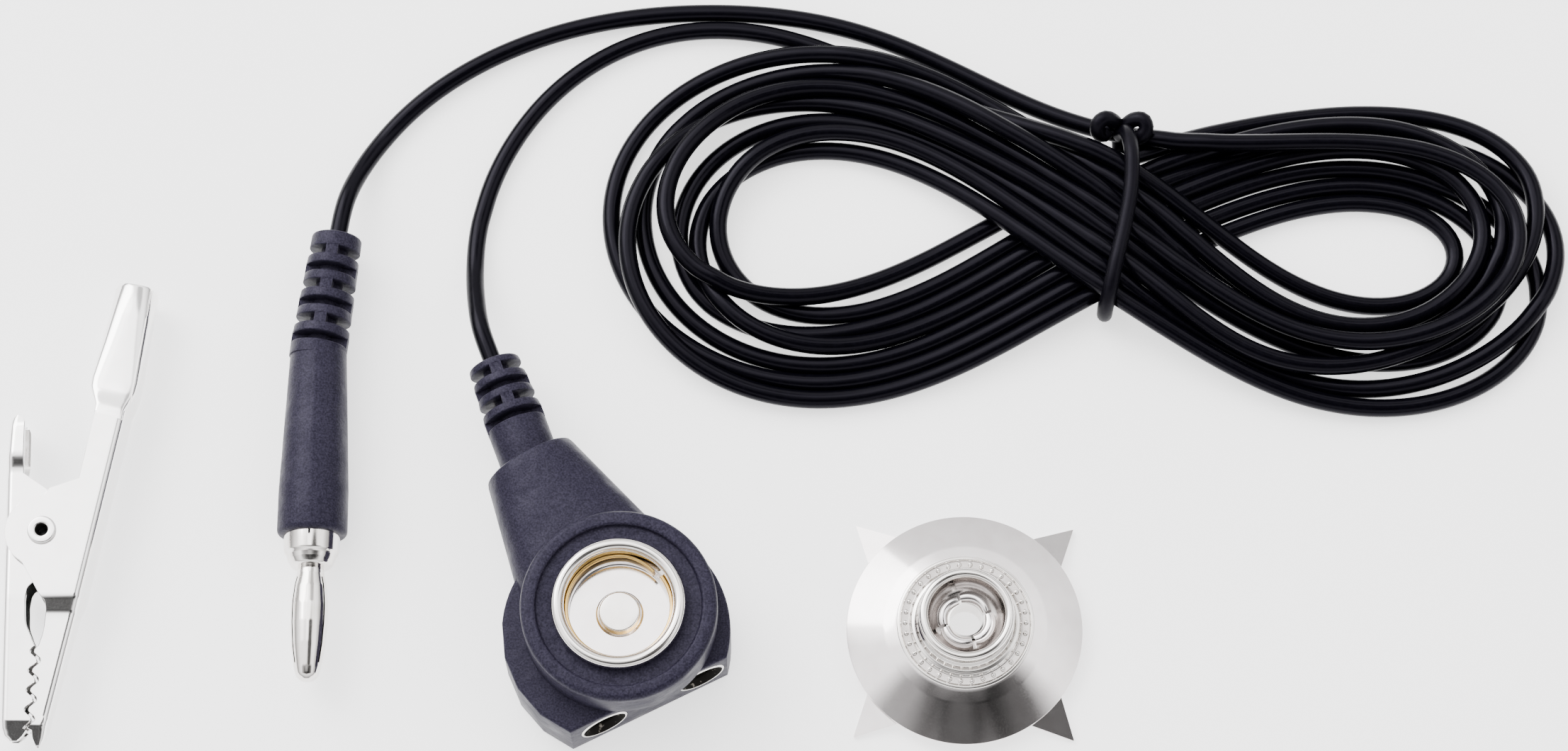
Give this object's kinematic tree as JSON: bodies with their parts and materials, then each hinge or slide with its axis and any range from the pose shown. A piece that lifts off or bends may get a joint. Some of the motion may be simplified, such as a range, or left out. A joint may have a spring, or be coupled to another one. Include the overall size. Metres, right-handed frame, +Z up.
{
  "type": "esd grounding cord kit",
  "caption": "ESD bench grounding kit: common point block with snap socket and banana jacks, thin cord tied in a hank, banana plug, crocodile clip adapter and clawed mat stud plate.",
  "frame": {"origin": "on the bench, on the block's underside, below the axis of its snap socket", "axes": "+X along the kit as laid out, from the clip towards the hank's far end; +Y from the plug's tip towards its cord; +Z up from the bench"},
  "size_m": [0.1679, 0.0854, 0.0131],
  "materials": {
    "black_moulding": "fine grained moulded PVC, slightly blue black",
    "cord_jacket": "glossy extruded PVC",
    "tie_jacket": "glossy plastic over wire",
    "bright_nickel": "bright nickel plate with fine scratches",
    "satin_nickel": "satin nickel plate, lightly brushed",
    "clip_steel": "nickel plated pressed steel sheet",
    "spring_brass": "bare spring brass",
    "resistor_body": "painted resistor body",
    "tinned_wire": "tinned wire"
  },
  "bodies": {
    "ground_block": {"block_base": "black_moulding", "block_head": "black_moulding", "block_bushing": "black_moulding", "snap_cup": "bright_nickel", "snap_spring_ring": "spring_brass", "snap_rivet": "bright_nickel", "jack_sleeve_left": "bright_nickel", "jack_sleeve_right": "bright_nickel", "bus_strip": "spring_brass", "series_resistor": "resistor_body", "resistor_leads": "tinned_wire", "conductor_crimp": "tinned_wire", "cord_lead_block": "cord_jacket", "cord_lead_plug": "cord_jacket", "cord_hank": "cord_jacket", "hank_tie": "tie_jacket", "plug_handle": "black_moulding", "plug_boot": "black_moulding", "plug_collar": "bright_nickel", "plug_pin": "bright_nickel", "plug_core": "spring_brass"},
    "clip_frame": {"clip_barrel_jaw": "clip_steel", "clip_rivet": "clip_steel", "clip_spring": "tinned_wire"},
    "clip_thumb": {"clip_thumb_jaw": "clip_steel"},
    "mat_stud": {"stud_disc": "satin_nickel", "stud_cap": "bright_nickel", "stud_eyelet": "bright_nickel", "claw_plate": "satin_nickel"}
  },
  "joints": [
    {"name": "clip_lift", "type": "slide", "parent": "ground_block", "child": "clip_frame", "axis": [0, 0, 1], "range_m": [0, 0.03]},
    {"name": "clip_jaw_hinge", "type": "hinge", "parent": "clip_frame", "child": "clip_thumb", "pos_m": [-0.0614, 0.0099, 0.0032], "axis": [0, 0, -1], "range_deg": [0, 22], "stiffness_Nm_per_rad": 0.04, "springref_deg": -51.57, "deforming": ["clip_spring"]},
    {"name": "mat_stud_lift", "type": "slide", "parent": "ground_block", "child": "mat_stud", "axis": [0, 0, 1], "range_m": [0, 0.03]}
  ]
}
